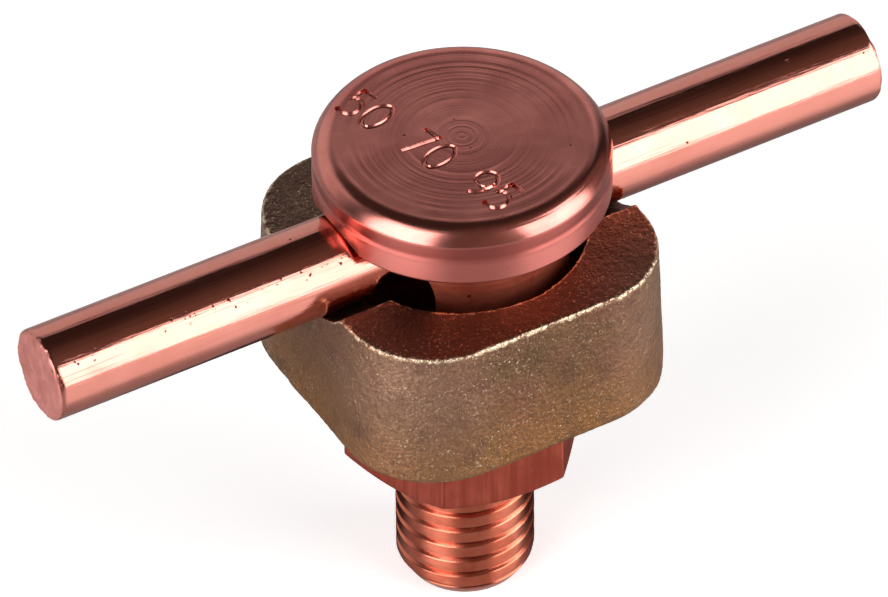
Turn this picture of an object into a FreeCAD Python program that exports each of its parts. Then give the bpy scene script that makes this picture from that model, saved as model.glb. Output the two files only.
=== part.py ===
import FreeCAD, Part
import math
import os

# Clamp connector for a round conductor, in millimetres.
# Origin: centre of the nut's lower face, where the stud leaves it.
# +Z runs up the bolt to its head, and X runs along the conductor.

# Round conductor
conductor_diameter = 8.0
conductor_length = 80.0
conductor_shift = -0.6
conductor_end_round = 0.5

# Thread of the bolt and hex nut
thread_diameter = 12.0
thread_pitch = 1.75
free_thread_turns = 8
stud_tip_radial = 0.85
stud_tip_length = 1.45
nut_across_flats = 19.0
nut_height = 10.0
nut_chamfer_angle = 30.0
nut_washer_face = 18.0
nut_countersink = 0.6
nut_rest_angle = 50.4
nut_clearance = 0.05

# Bolt head, neck and cross hole
head_diameter = 25.2
head_thickness = 5.5
head_rim_round = 1.6
head_lower_round = 0.4
neck_diameter = 18.5
neck_root_round = 0.8
neck_below_hole = 0.5
neck_taper_angle = 45.0
stud_root_round = 1.0
cross_hole_diameter = 13.0
cross_hole_into_head = 1.2

# Cast clamp block
block_width = 28.9
block_height = 13.8
block_corner_radius = 8.1
block_draft_angle = 2.1
block_top_round = 0.35
block_bottom_round = 0.6
recess_diameter = 21.5
recess_draft_angle = 1.5
recess_floor_round = 1.2
stud_hole_diameter = 13.2
groove_radius = 6.4
groove_depth = 2.4

# Gaps between pieces at rest, and the block's rest place off the bolt's axis, inside its hole's clearance
conductor_gap = 0.05
neck_floor_gap = 0.8
block_shift = -0.3

# Heights that follow from the stack
block_bottom_z = nut_height
block_top_z = block_bottom_z + block_height
conductor_radius = conductor_diameter / 2
conductor_z = block_top_z - groove_depth + conductor_gap + conductor_radius
cross_hole_radius = cross_hole_diameter / 2
cross_hole_z = conductor_z + conductor_radius + conductor_gap - cross_hole_radius
head_bottom_z = cross_hole_z + cross_hole_radius - cross_hole_into_head
head_top_z = head_bottom_z + head_thickness
stud_radius = thread_diameter / 2
neck_radius = neck_diameter / 2
taper_top_z = cross_hole_z - cross_hole_radius - neck_below_hole
taper_slope = math.tan(math.radians(neck_taper_angle))
taper_bottom_z = taper_top_z - (neck_radius - stud_radius) * taper_slope
stud_end_z = -free_thread_turns * thread_pitch


def vector(x, y, z):
    return FreeCAD.Vector(x, y, z)


def rounded_outline(corners):
    """Closed wire through corners (vector, radius), each corner rounded by an arc of its radius."""
    pieces = []
    count = len(corners)
    for index in range(count):
        before = corners[index - 1][0]
        corner, radius = corners[index]
        after = corners[(index + 1) % count][0]
        to_before = (before - corner).normalize()
        to_after = (after - corner).normalize()
        half_turn = to_before.getAngle(to_after) / 2
        if radius == 0:
            pieces.append((corner, None, corner))
            continue
        reach = radius / math.tan(half_turn)
        middle = (to_before + to_after).normalize()
        arc_middle = corner + middle * (radius / math.sin(half_turn) - radius)
        pieces.append((corner + to_before * reach, arc_middle, corner + to_after * reach))
    edges = []
    for index in range(count):
        start, arc_middle, end = pieces[index]
        if arc_middle is not None:
            edges.append(Part.Arc(start, arc_middle, end).toShape())
        next_start = pieces[(index + 1) % count][0]
        if (next_start - end).Length > 1e-6:
            edges.append(Part.LineSegment(end, next_start).toShape())
    return Part.Wire(edges)


def turned(points):
    """Solid of revolution about Z from (radius, height, corner round) points."""
    outline = rounded_outline([(vector(r, 0, z), corner) for r, z, corner in points])
    return Part.Face(outline).revolve(vector(0, 0, 0), vector(0, 0, 1), 360)


def cross_cylinder(radius, z, length):
    """Cylinder along X, centred on the bolt axis at height z."""
    return Part.makeCylinder(radius, length, vector(-length / 2, 0, z), vector(1, 0, 0))


def rounded_square(width, corner_radius, z):
    """Horizontal square outline with round corners."""
    half = width / 2
    signs = [(1, 1), (-1, 1), (-1, -1), (1, -1)]
    return rounded_outline([(vector(sx * half, sy * half, z), corner_radius) for sx, sy in signs])


def edges_at(shape, z):
    """Edges of the shape that lie wholly at height z."""
    return [e for e in shape.Edges if abs(e.BoundBox.ZMin - z) < 1e-4 and abs(e.BoundBox.ZMax - z) < 1e-4]


def make_clamp_bolt():
    """Head, thick neck, taper and stud in one forging, with the cross hole for the conductor."""
    head_radius = head_diameter / 2
    body = turned([
        (0, stud_end_z, 0),
        (stud_radius - stud_tip_radial, stud_end_z, 0),
        (stud_radius, stud_end_z + stud_tip_length, 0),
        (stud_radius, taper_bottom_z, stud_root_round),
        (neck_radius, taper_top_z, 0),
        (neck_radius, head_bottom_z, neck_root_round),
        (head_radius, head_bottom_z, head_lower_round),
        (head_radius, head_top_z, head_rim_round),
        (0, head_top_z, 0),
    ])
    return body.cut(cross_cylinder(cross_hole_radius, cross_hole_z, 2 * head_diameter))


def make_clamp_block():
    """Cast block with draft, a recess for the bolt's neck and a groove for the conductor."""
    spread = block_height * math.tan(math.radians(block_draft_angle))
    lower = rounded_square(block_width + 2 * spread, block_corner_radius + spread, block_bottom_z)
    upper = rounded_square(block_width, block_corner_radius, block_top_z)
    block = Part.makeLoft([lower, upper], True, True)
    block = block.makeFillet(block_bottom_round, edges_at(block, block_bottom_z))
    block = block.makeFillet(block_top_round, edges_at(block, block_top_z))

    # The recess floor runs parallel to the neck's taper, a gap below it.
    mouth_radius = recess_diameter / 2
    hole_radius = stud_hole_diameter / 2
    cone_start_z = taper_bottom_z - neck_floor_gap
    floor_outer_z = cone_start_z + (mouth_radius - stud_radius) * taper_slope
    floor_inner_z = cone_start_z + (hole_radius - stud_radius) * taper_slope
    wall_lean = (block_top_z - floor_outer_z) * math.tan(math.radians(recess_draft_angle))
    recess = turned([
        (0, block_bottom_z - block_height, 0),
        (hole_radius, block_bottom_z - block_height, 0),
        (hole_radius, floor_inner_z, 0),
        (mouth_radius - wall_lean, floor_outer_z - wall_lean * taper_slope, recess_floor_round),
        (mouth_radius, block_top_z, 0),
        (mouth_radius, block_top_z + block_height, 0),
        (0, block_top_z + block_height, 0),
    ])
    groove = cross_cylinder(groove_radius, block_top_z - groove_depth + groove_radius, 2 * block_width)
    block = block.cut(recess).cut(groove)
    block.translate(vector(block_shift, 0, 0))
    return block


def make_hex_nut():
    """Hexagon nut with both faces chamfered, clear of the stud by the nut's clearance."""
    corner_radius = nut_across_flats / 2 / math.cos(math.pi / 6)
    angles = [math.radians(nut_rest_angle + 60 * side) for side in range(6)]
    corners = [vector(corner_radius * math.cos(a), corner_radius * math.sin(a), 0) for a in angles]
    prism = Part.Face(Part.makePolygon(corners + corners[:1])).extrude(vector(0, 0, nut_height))
    face_radius = nut_washer_face / 2
    outer_radius = nut_across_flats
    rise = (outer_radius - face_radius) * math.tan(math.radians(nut_chamfer_angle))
    chamfers = turned([
        (0, 0, 0),
        (face_radius, 0, 0),
        (outer_radius, rise, 0),
        (outer_radius, nut_height - rise, 0),
        (face_radius, nut_height, 0),
        (0, nut_height, 0),
    ])
    bore_radius = stud_radius + nut_clearance
    bore = turned([
        (0, -nut_countersink, 0),
        (bore_radius + 2 * nut_countersink, -nut_countersink, 0),
        (bore_radius, nut_countersink, 0),
        (bore_radius, nut_height - nut_countersink, 0),
        (bore_radius + 2 * nut_countersink, nut_height + nut_countersink, 0),
        (0, nut_height + nut_countersink, 0),
    ])
    return prism.common(chamfers).cut(bore)


def make_round_conductor():
    """Short length of solid round conductor with its cut ends slightly rounded."""
    half = conductor_length / 2
    bar = turned([
        (0, -half, 0),
        (conductor_radius, -half, conductor_end_round),
        (conductor_radius, half, conductor_end_round),
        (0, half, 0),
    ])
    bar.rotate(vector(0, 0, 0), vector(0, 1, 0), 90)
    bar.translate(vector(conductor_shift, 0, conductor_z))
    return bar


def main():
    os.makedirs("parts", exist_ok=True)
    nodes = {
        "clamp_bolt": make_clamp_bolt(),
        "clamp_block": make_clamp_block(),
        "hex_nut": make_hex_nut(),
        "round_conductor": make_round_conductor(),
    }
    for name, shape in nodes.items():
        shape.exportStep("parts/" + name + ".step")
        box = shape.BoundBox
        print(name, "valid", shape.isValid(), "solids", len(shape.Solids), "volume", round(shape.Volume, 1),
              "z", round(box.ZMin, 2), round(box.ZMax, 2))


main()
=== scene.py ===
import math

import bmesh
import bpy
import numpy as np
from bpy.props import FloatProperty, FloatVectorProperty, IntProperty, PointerProperty, StringProperty
from mathutils import Matrix, Vector, noise


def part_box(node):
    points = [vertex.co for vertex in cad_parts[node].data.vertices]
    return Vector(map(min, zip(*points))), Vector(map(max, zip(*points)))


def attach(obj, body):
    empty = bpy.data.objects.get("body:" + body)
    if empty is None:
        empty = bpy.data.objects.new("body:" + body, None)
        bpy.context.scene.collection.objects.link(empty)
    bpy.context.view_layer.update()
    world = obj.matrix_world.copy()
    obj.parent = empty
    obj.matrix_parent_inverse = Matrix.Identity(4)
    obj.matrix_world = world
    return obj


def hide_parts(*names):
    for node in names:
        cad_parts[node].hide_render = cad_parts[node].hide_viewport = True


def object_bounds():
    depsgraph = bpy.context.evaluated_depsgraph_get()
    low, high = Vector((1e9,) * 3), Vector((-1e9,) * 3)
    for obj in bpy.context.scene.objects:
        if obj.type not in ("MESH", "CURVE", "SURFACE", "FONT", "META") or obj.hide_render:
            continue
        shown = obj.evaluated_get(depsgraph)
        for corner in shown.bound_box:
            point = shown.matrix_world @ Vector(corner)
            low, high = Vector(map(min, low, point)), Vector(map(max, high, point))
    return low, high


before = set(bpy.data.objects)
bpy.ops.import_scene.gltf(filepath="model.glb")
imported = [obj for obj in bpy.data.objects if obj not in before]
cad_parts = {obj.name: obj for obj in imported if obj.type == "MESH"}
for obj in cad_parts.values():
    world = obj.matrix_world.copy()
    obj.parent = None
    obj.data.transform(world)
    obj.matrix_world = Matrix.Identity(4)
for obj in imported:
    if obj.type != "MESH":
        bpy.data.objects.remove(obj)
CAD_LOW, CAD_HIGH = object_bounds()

bl_info = {
    "name": "Round conductor connector",
    "version": (1, 0, 0),
    "blender": (4, 5, 0),
    "location": "View3D > Sidebar > Connector",
    "description": "Builds the finished look of a clamp connector for a round conductor",
    "category": "Add Mesh",
}

MM = 0.001
MERGE_DISTANCE = 0.002 * MM

# Distance from a round to the ring that keeps the surface beside it flat
SUPPORT = 0.15 * MM

# Vertex values that the materials read
WEAR_ATTRIBUTE = "edge_wear"
# Where the block gets painted shade and reflection: its top and its recess
TOP_SHADE_ATTRIBUTE = "painted_top_shade"
WALL_EDGE_ATTRIBUTE = "wall_edge"

# Light walls: name of the radiance, softness, azimuths from -Y towards +X and elevations in degrees,
# and share of the wall distance
LIGHT_WALLS = {
    "key": ("key_radiance", 0.06, (8, 74), (-4, 51), 1.0),
    "fill": ("fill_radiance", 0.20, (-105, -44), (-2, 62), 1.0),
    "back": ("back_radiance", 0.25, (100, 260), (-2, 49), 1.2),
}

# Faint margin of a light wall: its share of the wall's half width, and of the radiance
WALL_MARGIN = 0.16
MARGIN_GLOW = 0.05

# Height of the light walls' common centre, near the camera's aim
WALL_CENTRE_HEIGHT = 0.02

BOLT_LOW, BOLT_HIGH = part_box("clamp_bolt")
BLOCK_LOW, BLOCK_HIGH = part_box("clamp_block")
NUT_LOW, NUT_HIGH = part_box("hex_nut")
CONDUCTOR_LOW, CONDUCTOR_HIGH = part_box("round_conductor")


def length(name, description, default):
    """Property for a length in metres."""
    return FloatProperty(name=name, description=description, default=default, unit="LENGTH", precision=5)


def angle(name, description, degrees):
    """Property for an angle, given in degrees."""
    turn = math.radians(degrees)
    return FloatProperty(name=name, description=description, default=turn, subtype="ANGLE")


def number(name, description, default):
    """Property for a plain number, such as a radiance or a share of light."""
    return FloatProperty(name=name, description=description, default=default, min=0)


def colour(name, description, default):
    """Property for a linear colour."""
    return FloatVectorProperty(
        name=name, description=description, default=default, min=0, max=1, size=3, subtype="COLOR"
    )


class ClampBoltSizes(bpy.types.PropertyGroup):
    """Sizes of the bolt with the round head, the neck with the cross hole and the threaded stud"""

    head_radius: length("Head radius", "Radius of the round head", BOLT_HIGH.x)
    head_thickness: length("Head thickness", "Height of the head", 5.5 * MM)
    rim_inner_round: length("Inner rim round", "Round where the rim leaves the flat top", 1.55 * MM)
    rim_round: length("Rim round", "Broad round of the rim", 2.5 * MM)
    rim_outer_round: length("Outer rim round", "Round where the rim meets the head's side", 0.5 * MM)
    waist_depth: length("Waist depth", "Depth of the turned waist in the head's side", 0.12 * MM)
    skirt_height: length("Skirt height", "Height of the band under the waist", 2.3 * MM)
    head_lower_round: length("Lower round", "Round of the head's lower edge", 0.4 * MM)
    neck_radius: length("Neck radius", "Radius of the neck", 9.25 * MM)
    neck_root_round: length("Neck root round", "Round where the neck meets the head", 0.8 * MM)
    neck_below_hole: length("Neck below hole", "Straight neck left under the cross hole", 0.5 * MM)
    stud_radius: length("Stud radius", "Outer radius of the thread", 6.0 * MM)
    stud_root_round: length("Stud root round", "Round where the stud meets the taper", 1.0 * MM)
    tip_radial: length("Tip chamfer across", "Radial size of the chamfer at the stud's end", 0.85 * MM)
    tip_length: length("Tip chamfer along", "Length of the chamfer at the stud's end", 1.45 * MM)
    hole_radius: length("Cross hole radius", "Radius of the hole for the conductor", 6.5 * MM)
    hole_into_head: length("Hole into head", "How far the hole reaches up into the head", 1.2 * MM)
    hole_mouth_round: length("Hole mouth round", "Round of the hole's mouth", 0.4 * MM)
    thread_pitch: length("Thread pitch", "Pitch of the thread", 1.75 * MM)
    thread_root_radius: length("Thread root radius", "Radius at the bottom of the thread", 5.58 * MM)
    thread_phase: angle("Thread phase", "Turn of the thread about the stud", 165)
    thread_steps: IntProperty(name="Thread steps", description="Steps along one pitch", default=16, min=6)
    segments: IntProperty(name="Segments", description="Steps round the bolt", default=256, min=32)


class NumeralSizes(bpy.types.PropertyGroup):
    """The plain numbers stamped in the head"""

    text: StringProperty(
        name="Numbers", description="Numbers made of the digits 0, 5, 7 and 9", default="50 70 95"
    )
    height: length("Height", "Height of a digit", 3.3 * MM)
    pitch: length("Pitch", "Distance from one digit to the next", 2.45 * MM)
    stroke: length("Stroke", "Width of a stroke", 0.46 * MM)
    depth: length("Depth", "Depth of a stroke", 0.2 * MM)
    centre_x: length("Centre X", "Middle of the line of digits", -3.25 * MM)
    centre_y: length("Centre Y", "Middle of the line of digits", -0.2 * MM)
    heading: angle("Heading", "Direction in which the digits run", -74.4)


class ClampBlockSizes(bpy.types.PropertyGroup):
    """Surface of the cast block"""

    voxel: length("Voxel", "Size of the grid that the casting's skin is made on", 0.22 * MM)
    grain_size: length("Grain size", "Size of the sand grains left in the skin", 0.42 * MM)
    grain_depth: length("Grain depth", "Depth of the sand grains", 0.035 * MM)
    lump_size: length("Lump size", "Size of the casting's soft unevenness", 3.2 * MM)
    lump_depth: length("Lump depth", "Depth of the casting's soft unevenness", 0.10 * MM)
    recess_radius: length("Recess radius", "Radius of the recess for the bolt's neck", 10.75 * MM)
    flash_x: length("Flash X", "Place of the gate's remnant", -14.9 * MM)
    flash_y: length("Flash Y", "Place of the gate's remnant", 2.0 * MM)
    flash_z: length("Flash Z", "Place of the gate's remnant", 10.6 * MM)
    flash_radius: length("Flash radius", "Half width of the gate's remnant", 1.6 * MM)
    flash_half_height: length("Flash half height", "Half height of the gate's remnant", 1.2 * MM)
    flash_rise: length("Flash rise", "How far the gate's remnant stands out", 0.12 * MM)


class HexNutSizes(bpy.types.PropertyGroup):
    """Sizes of the hexagon nut"""

    across_flats: length("Across flats", "Width across the flats", 19.0 * MM)
    washer_face: length("Washer face", "Diameter of the flat face inside the chamfer", 18.0 * MM)
    chamfer_angle: angle("Chamfer angle", "Slope of the chamfers", 30)
    corner_round: length("Corner round", "Round of the corners between flats", 0.35 * MM)
    edge_round: length("Edge round", "Round of the chamfer's edges", 0.14 * MM)
    bore_radius: length("Bore radius", "Radius of the bore", 6.05 * MM)
    countersink: length("Countersink", "Size of the bore's countersinks", 0.6 * MM)
    rest_angle: angle("Rest angle", "Turn of a corner from +X at rest", 50.4)


class RoundConductorSizes(bpy.types.PropertyGroup):
    """Sizes of the short length of round conductor"""

    end_round: length("End round", "Round of the cut ends", 0.5 * MM)
    end_roughness: length("End roughness", "Depth of the marks that the shears left", 0.25 * MM)
    end_marks: length("End marks", "Length of the bar that the shears marked", 1.2 * MM)
    pit_line: angle("Pit line", "Turn of the line of pits from -Y upward", 45)
    segments: IntProperty(name="Segments", description="Steps round the conductor", default=192, min=32)


class FinishColours(bpy.types.PropertyGroup):
    """Colours of the metals"""

    forged_clean: colour("Turned copper", "Clean turned copper of the bolt's head", (0.84, 0.30, 0.245))
    forged_dull: colour("Turned copper, dull", "Tarnished copper of the bolt's head", (0.58, 0.17, 0.145))
    # Painted shade: darker copper that stands in partly for the dark reflection on the waist band, partly
    # for its turned finish
    waist_shade_copper: colour("Side copper", "Dull copper round the waist of the head", (0.56, 0.145, 0.12))
    skirt_copper: colour("Skirt copper", "Clean copper round the foot of the head", (0.84, 0.26, 0.22))
    raw_clean: colour("Raw copper", "Clean copper below the head", (0.88, 0.25, 0.155))
    raw_dull: colour("Raw copper, dull", "Tarnished copper below the head", (0.66, 0.14, 0.075))
    nut_clean: colour("Nut copper", "Clean copper of the nut", (0.66, 0.145, 0.09))
    nut_dull: colour("Nut copper, dull", "Tarnished copper of the nut", (0.42, 0.078, 0.048))
    drawn_clean: colour("Drawn copper", "Bright copper of the conductor", (0.84, 0.32, 0.255))
    drawn_dull: colour("Drawn copper, dull", "Stained copper of the conductor", (0.66, 0.20, 0.14))
    sheared_clean: colour("Sheared copper", "Dull copper of the cut ends", (0.78, 0.30, 0.26))
    sheared_dull: colour("Sheared copper, dull", "Darker patches on the cut ends", (0.55, 0.17, 0.14))
    gunmetal: colour("Gunmetal", "Cast skin of the block", (0.29, 0.125, 0.074))
    gunmetal_green: colour("Gunmetal, olive", "Olive patches in the cast skin", (0.20, 0.112, 0.048))
    gunmetal_low: colour("Gunmetal, low", "Yellower skin low on the block", (0.40, 0.178, 0.050))
    # Painted light: lighter colour on the block's corners
    gunmetal_lit_corner: colour("Gunmetal, handled", "Lighter skin on the corners", (0.46, 0.26, 0.17))
    gunmetal_dark: colour("Gunmetal, dark", "Blotches and pits in the skin", (0.13, 0.065, 0.045))
    # Painted shade and reflection: darker, redder colour on the block's top and in its recess
    gunmetal_top_shade: colour("Gunmetal, inner", "Redder skin on top and inside", (0.19, 0.102, 0.068))
    # Bright metal of worn edges, also used for painted glints on the grain tops
    gunmetal_wear_and_glint: colour("Gunmetal, worn", "Bright metal on worn edges", (0.88, 0.68, 0.47))


class StudioSettings(bpy.types.PropertyGroup):
    """Camera, floor and lights"""

    camera_azimuth: angle("Camera azimuth", "Bearing of the camera from -Y towards -X", 29.72)
    camera_elevation: angle("Camera elevation", "Height of the camera above the horizon", 42.06)
    camera_roll: angle("Camera roll", "Turn of the camera about its own view", -0.58)
    camera_distance: length("Camera distance", "Distance from the camera to its aim", 0.75864)
    camera_aim: FloatVectorProperty(
        name="Camera aim", description="Point that the camera looks at", size=3,
        default=(-3.859 * MM, -3.482 * MM, 19.979 * MM), subtype="TRANSLATION", unit="LENGTH"
    )
    lens: number("Lens", "Focal length in millimetres", 366.3)
    floor_radius: length("Floor radius", "Radius of the floor", 2.5)
    wall_distance: length("Wall distance", "Distance from the part to the light walls", 0.6)
    key_radiance: number("Key light", "Radiance of the light on the right", 3.6)
    fill_radiance: number("Fill light", "Radiance of the light on the left", 3.7)
    back_radiance: number("Backdrop", "Radiance of the backdrop", 0.6)
    sky_radiance: number("Ceiling", "Radiance of the dark ceiling", 0.034)
    sky_rise: number("Ceiling rise", "How many times lighter the ceiling is towards the key light", 7)
    sky_tint: colour("Ceiling tint", "Colour of the dark ceiling", (1.0, 0.75, 0.6))
    floor_gap: length("Floor gap", "Distance from the part down to the floor", 0.04 * MM)
    floor_glow: number("Floor glow", "Light that the floor adds of its own", 0.50)
    paper: number("Paper", "Share of light that the floor scatters", 0.33)
    sheen: number("Sheen", "Share of light that the floor mirrors", 0.27)
    shadow_light: number("Shadow light", "Share of light left in the floor's shadow", 0.1)
    shadow_start: length("Shadow start", "How far behind the bolt the shadow starts", -3 * MM)
    shadow_fade: length("Shadow fade", "Depth over which the shadow starts", 5 * MM)
    shadow_radius: length("Shadow radius", "Distance from the bolt where the shadow ends", 37 * MM)


class ConnectorSettings(bpy.types.PropertyGroup):
    """All sizes and colours of the connector and its studio"""

    bolt: PointerProperty(type=ClampBoltSizes)
    numerals: PointerProperty(type=NumeralSizes)
    block: PointerProperty(type=ClampBlockSizes)
    nut: PointerProperty(type=HexNutSizes)
    conductor: PointerProperty(type=RoundConductorSizes)
    finish: PointerProperty(type=FinishColours)
    studio: PointerProperty(type=StudioSettings)


# Meshes

def place_object(name, data):
    """New object in the scene, in place of one that an earlier run made."""
    previous = bpy.data.objects.get(name)
    if previous is not None:
        bpy.data.objects.remove(previous)
    made = bpy.data.objects.new(name, data)
    bpy.context.scene.collection.objects.link(made)
    return made


def new_object(name, vertices, faces):
    """New mesh object from points and faces, with its normals outward."""
    mesh = bpy.data.meshes.new(name)
    mesh.from_pydata([tuple(v) for v in vertices], [], faces)
    work = bmesh.new()
    work.from_mesh(mesh)
    bmesh.ops.recalc_face_normals(work, faces=work.faces)
    work.to_mesh(mesh)
    work.free()
    return place_object(name, mesh)


def bake_modifiers(piece):
    """Puts the result of the piece's modifiers into its mesh."""
    depsgraph = bpy.context.evaluated_depsgraph_get()
    depsgraph.update()
    mesh = bpy.data.meshes.new_from_object(piece.evaluated_get(depsgraph))
    piece.modifiers.clear()
    piece.data = mesh
    mesh.name = piece.name


def cut(piece, cutters):
    """Takes the cutters away from the piece, and removes them."""
    for cutter in cutters:
        boolean = piece.modifiers.new("Cut", "BOOLEAN")
        boolean.operation = "DIFFERENCE"
        boolean.solver = "EXACT"
        boolean.use_self = True
        boolean.object = cutter
    bake_modifiers(piece)
    for cutter in cutters:
        bpy.data.objects.remove(cutter)


def rounded_profile(corners, arc_steps):
    """Open profile through corners (across, along, round), where each corner is rounded by an arc."""
    points = []
    for index, (across, along, radius) in enumerate(corners):
        corner = Vector((across, along))
        if radius == 0:
            points.append(corner)
            continue
        to_before = (Vector(corners[index - 1][:2]) - corner).normalized()
        to_after = (Vector(corners[index + 1][:2]) - corner).normalized()
        half_angle = to_before.angle(to_after) / 2
        middle = (to_before + to_after).normalized()
        centre = corner + middle * (radius / math.sin(half_angle))
        reach = radius / math.tan(half_angle)
        start = corner + to_before * reach - centre
        end = corner + to_after * reach - centre
        for step in range(arc_steps + 1):
            spread = start.slerp(end, step / arc_steps)
            points.append(centre + spread.normalized() * radius)
    return points


def ring_grid(rows, segments, closed_rows=False):
    """Faces of a grid of rings, one ring a row. The ends are closed, unless the rows are a loop."""
    faces = []
    last = rows if closed_rows else rows - 1
    for row in range(last):
        here = row * segments
        there = ((row + 1) % rows) * segments
        for step in range(segments):
            after = (step + 1) % segments
            faces.append((here + step, here + after, there + after, there + step))
    if not closed_rows:
        faces.append(tuple(range(segments)))
        faces.append(tuple(range((rows - 1) * segments, rows * segments)))
    return faces


def turned(name, profile, segments):
    """Closed object turned about Z from (radius, height) points."""
    angles = [2 * math.pi * step / segments for step in range(segments)]
    vertices = [(r * math.cos(a), r * math.sin(a), z) for r, z in profile for a in angles]
    return new_object(name, vertices, ring_grid(len(profile), segments))


def mesh_points(mesh):
    """Vertex positions and normals as arrays."""
    count = len(mesh.vertices)
    positions = np.empty(count * 3, np.float32)
    mesh.vertices.foreach_get("co", positions)
    normals = np.empty(count * 3, np.float32)
    mesh.vertices.foreach_get("normal", normals)
    return positions.reshape(-1, 3), normals.reshape(-1, 3)


def store_values(mesh, name, values):
    """Stores one value at each vertex."""
    attribute = mesh.attributes.new(name, "FLOAT", "POINT")
    attribute.data.foreach_set("value", np.asarray(values, np.float32))


def store_edge_wear(mesh, smoothing_rounds):
    """Stores how convex the surface is at each vertex, for the wear on outer edges."""
    positions, normals = mesh_points(mesh)
    edges = np.empty(len(mesh.edges) * 2, np.int32)
    mesh.edges.foreach_get("vertices", edges)
    first, second = edges.reshape(-1, 2).T
    span = positions[second] - positions[first]
    distance = np.maximum(np.linalg.norm(span, axis=1), MERGE_DISTANCE)
    count = len(mesh.vertices)
    total = np.zeros(count)
    neighbours = np.zeros(count)
    np.add.at(total, first, -np.einsum("ij,ij->i", normals[first], span) / distance)
    np.add.at(total, second, np.einsum("ij,ij->i", normals[second], span) / distance)
    np.add.at(neighbours, first, 1)
    np.add.at(neighbours, second, 1)
    neighbours = np.maximum(neighbours, 1)
    convexity = total / neighbours
    for _ in range(smoothing_rounds):
        total = np.zeros(count)
        np.add.at(total, first, convexity[second])
        np.add.at(total, second, convexity[first])
        convexity = (convexity + total / neighbours) / 2
    store_values(mesh, WEAR_ATTRIBUTE, convexity)


def store_top_shade(mesh, centre, radius):
    """Stores how far each vertex faces up or lies inside the radius, where painted shade and reflection
    make the skin darker and redder.
    """
    positions, normals = mesh_points(mesh)
    least_slope, slope_range = 0.35, 0.4
    blend_width = 0.3 * MM
    facing_up = np.clip((normals[:, 2] - least_slope) / slope_range, 0, 1)
    from_axis = np.linalg.norm(positions[:, :2] - np.array(centre[:2]), axis=1)
    inside = np.clip((radius - from_axis) / blend_width, 0, 1)
    store_values(mesh, TOP_SHADE_ATTRIBUTE, np.maximum(facing_up, inside))


def shade(piece, sharp_angle):
    """Smooth shading that keeps flat faces flat and edges past the angle sharp."""
    piece.data.shade_smooth()
    piece.data.set_sharp_from_angle(angle=math.radians(sharp_angle))
    weighted = piece.modifiers.new("Weighted normals", "WEIGHTED_NORMAL")
    weighted.keep_sharp = True


def seat(piece, body, node, material):
    """Gives the piece its material, and its place in the frame."""
    piece.data.materials.clear()
    piece.data.materials.append(material)
    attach(piece, body)
    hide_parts(node)


# Clamp bolt

def bolt_heights(sizes):
    """Heights on the bolt, from the top of the head down."""
    head_bottom = BOLT_HIGH.z - sizes.head_thickness
    hole_centre = head_bottom + sizes.hole_into_head - sizes.hole_radius
    taper_top = hole_centre - sizes.hole_radius - sizes.neck_below_hole
    taper_bottom = taper_top - (sizes.neck_radius - sizes.stud_radius)
    thread_top = taper_bottom - sizes.stud_root_round * math.tan(math.pi / 8)
    return head_bottom, hole_centre, taper_top, taper_bottom, thread_top


def rim_profile(sizes):
    """Profile of the rim from the flat top to the side: a tight round, a broad one and a tight one."""
    arcs = ((sizes.rim_inner_round, 0, 40), (sizes.rim_round, 40, 68), (sizes.rim_outer_round, 68, 90))
    steps = 8
    across, height = 0, BOLT_HIGH.z
    points = [(across, height)]
    for radius, start, end in arcs:
        for step in range(steps):
            before = math.radians(start + (end - start) * step / steps)
            after = math.radians(start + (end - start) * (step + 1) / steps)
            across += radius * (math.sin(after) - math.sin(before))
            height -= radius * (math.cos(before) - math.cos(after))
            points.append((across, height))
    return [(sizes.head_radius - across + r, z) for r, z in points]


def bolt_profile(sizes):
    """Outer profile of head, neck and taper, from the top of the head down to the thread."""
    head_bottom, _, taper_top, taper_bottom, thread_top = bolt_heights(sizes)
    rim = rim_profile(sizes)
    waist = sizes.head_radius - sizes.waist_depth
    skirt_top = head_bottom + sizes.skirt_height
    skirt_step = 0.45 * MM
    soft_round = 0.8 * MM
    return [(rim[0][0] - SUPPORT, BOLT_HIGH.z)] + rim + rounded_profile([
        (sizes.head_radius, rim[-1][1] - SUPPORT, 0),
        (waist, skirt_top + skirt_step, soft_round),
        (sizes.head_radius, skirt_top, soft_round),
        (sizes.head_radius, head_bottom, sizes.head_lower_round),
        (sizes.neck_radius + sizes.neck_root_round + SUPPORT, head_bottom, 0),
        (sizes.neck_radius, head_bottom, sizes.neck_root_round),
        (sizes.neck_radius, taper_top + SUPPORT, 0),
        (sizes.neck_radius, taper_top, 0),
        (sizes.stud_radius, taper_bottom, sizes.stud_root_round),
        (sizes.stud_radius, thread_top, 0),
    ], arc_steps=12)


def cross_hole_cutter(sizes):
    """Cutter for the cross hole, flared by a quarter round where it comes out of neck and head."""
    head_bottom, hole_centre, _, _, _ = bolt_heights(sizes)
    steps = 160
    flare = sizes.hole_mouth_round
    flare_steps = 8
    beyond = sizes.head_radius * 1.2
    rows = []
    for step in range(flare_steps + 1):
        turn = math.pi / 2 * step / flare_steps
        rows.append((flare * math.sin(turn) - flare, flare * (1 - math.cos(turn))))
    stations = [("inner", *row) for row in rows] + [("outer", 0, flare)]
    sections = [(-1, s) for s in reversed(stations)] + [(1, s) for s in stations]
    vertices = []
    for side, (kind, offset, widening) in sections:
        for step in range(steps):
            turn = 2 * math.pi * step / steps
            radius = sizes.hole_radius + widening
            y = sizes.hole_radius * math.sin(turn)
            z = hole_centre + sizes.hole_radius * math.cos(turn)
            outer = sizes.head_radius if z > head_bottom else sizes.neck_radius
            mouth = math.sqrt(outer ** 2 - y ** 2)
            x = beyond if kind == "outer" else mouth + offset
            vertices.append((side * x, radius * math.sin(turn), hole_centre + radius * math.cos(turn)))
    return new_object("hole_cutter", vertices, ring_grid(len(sections), steps))


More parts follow.
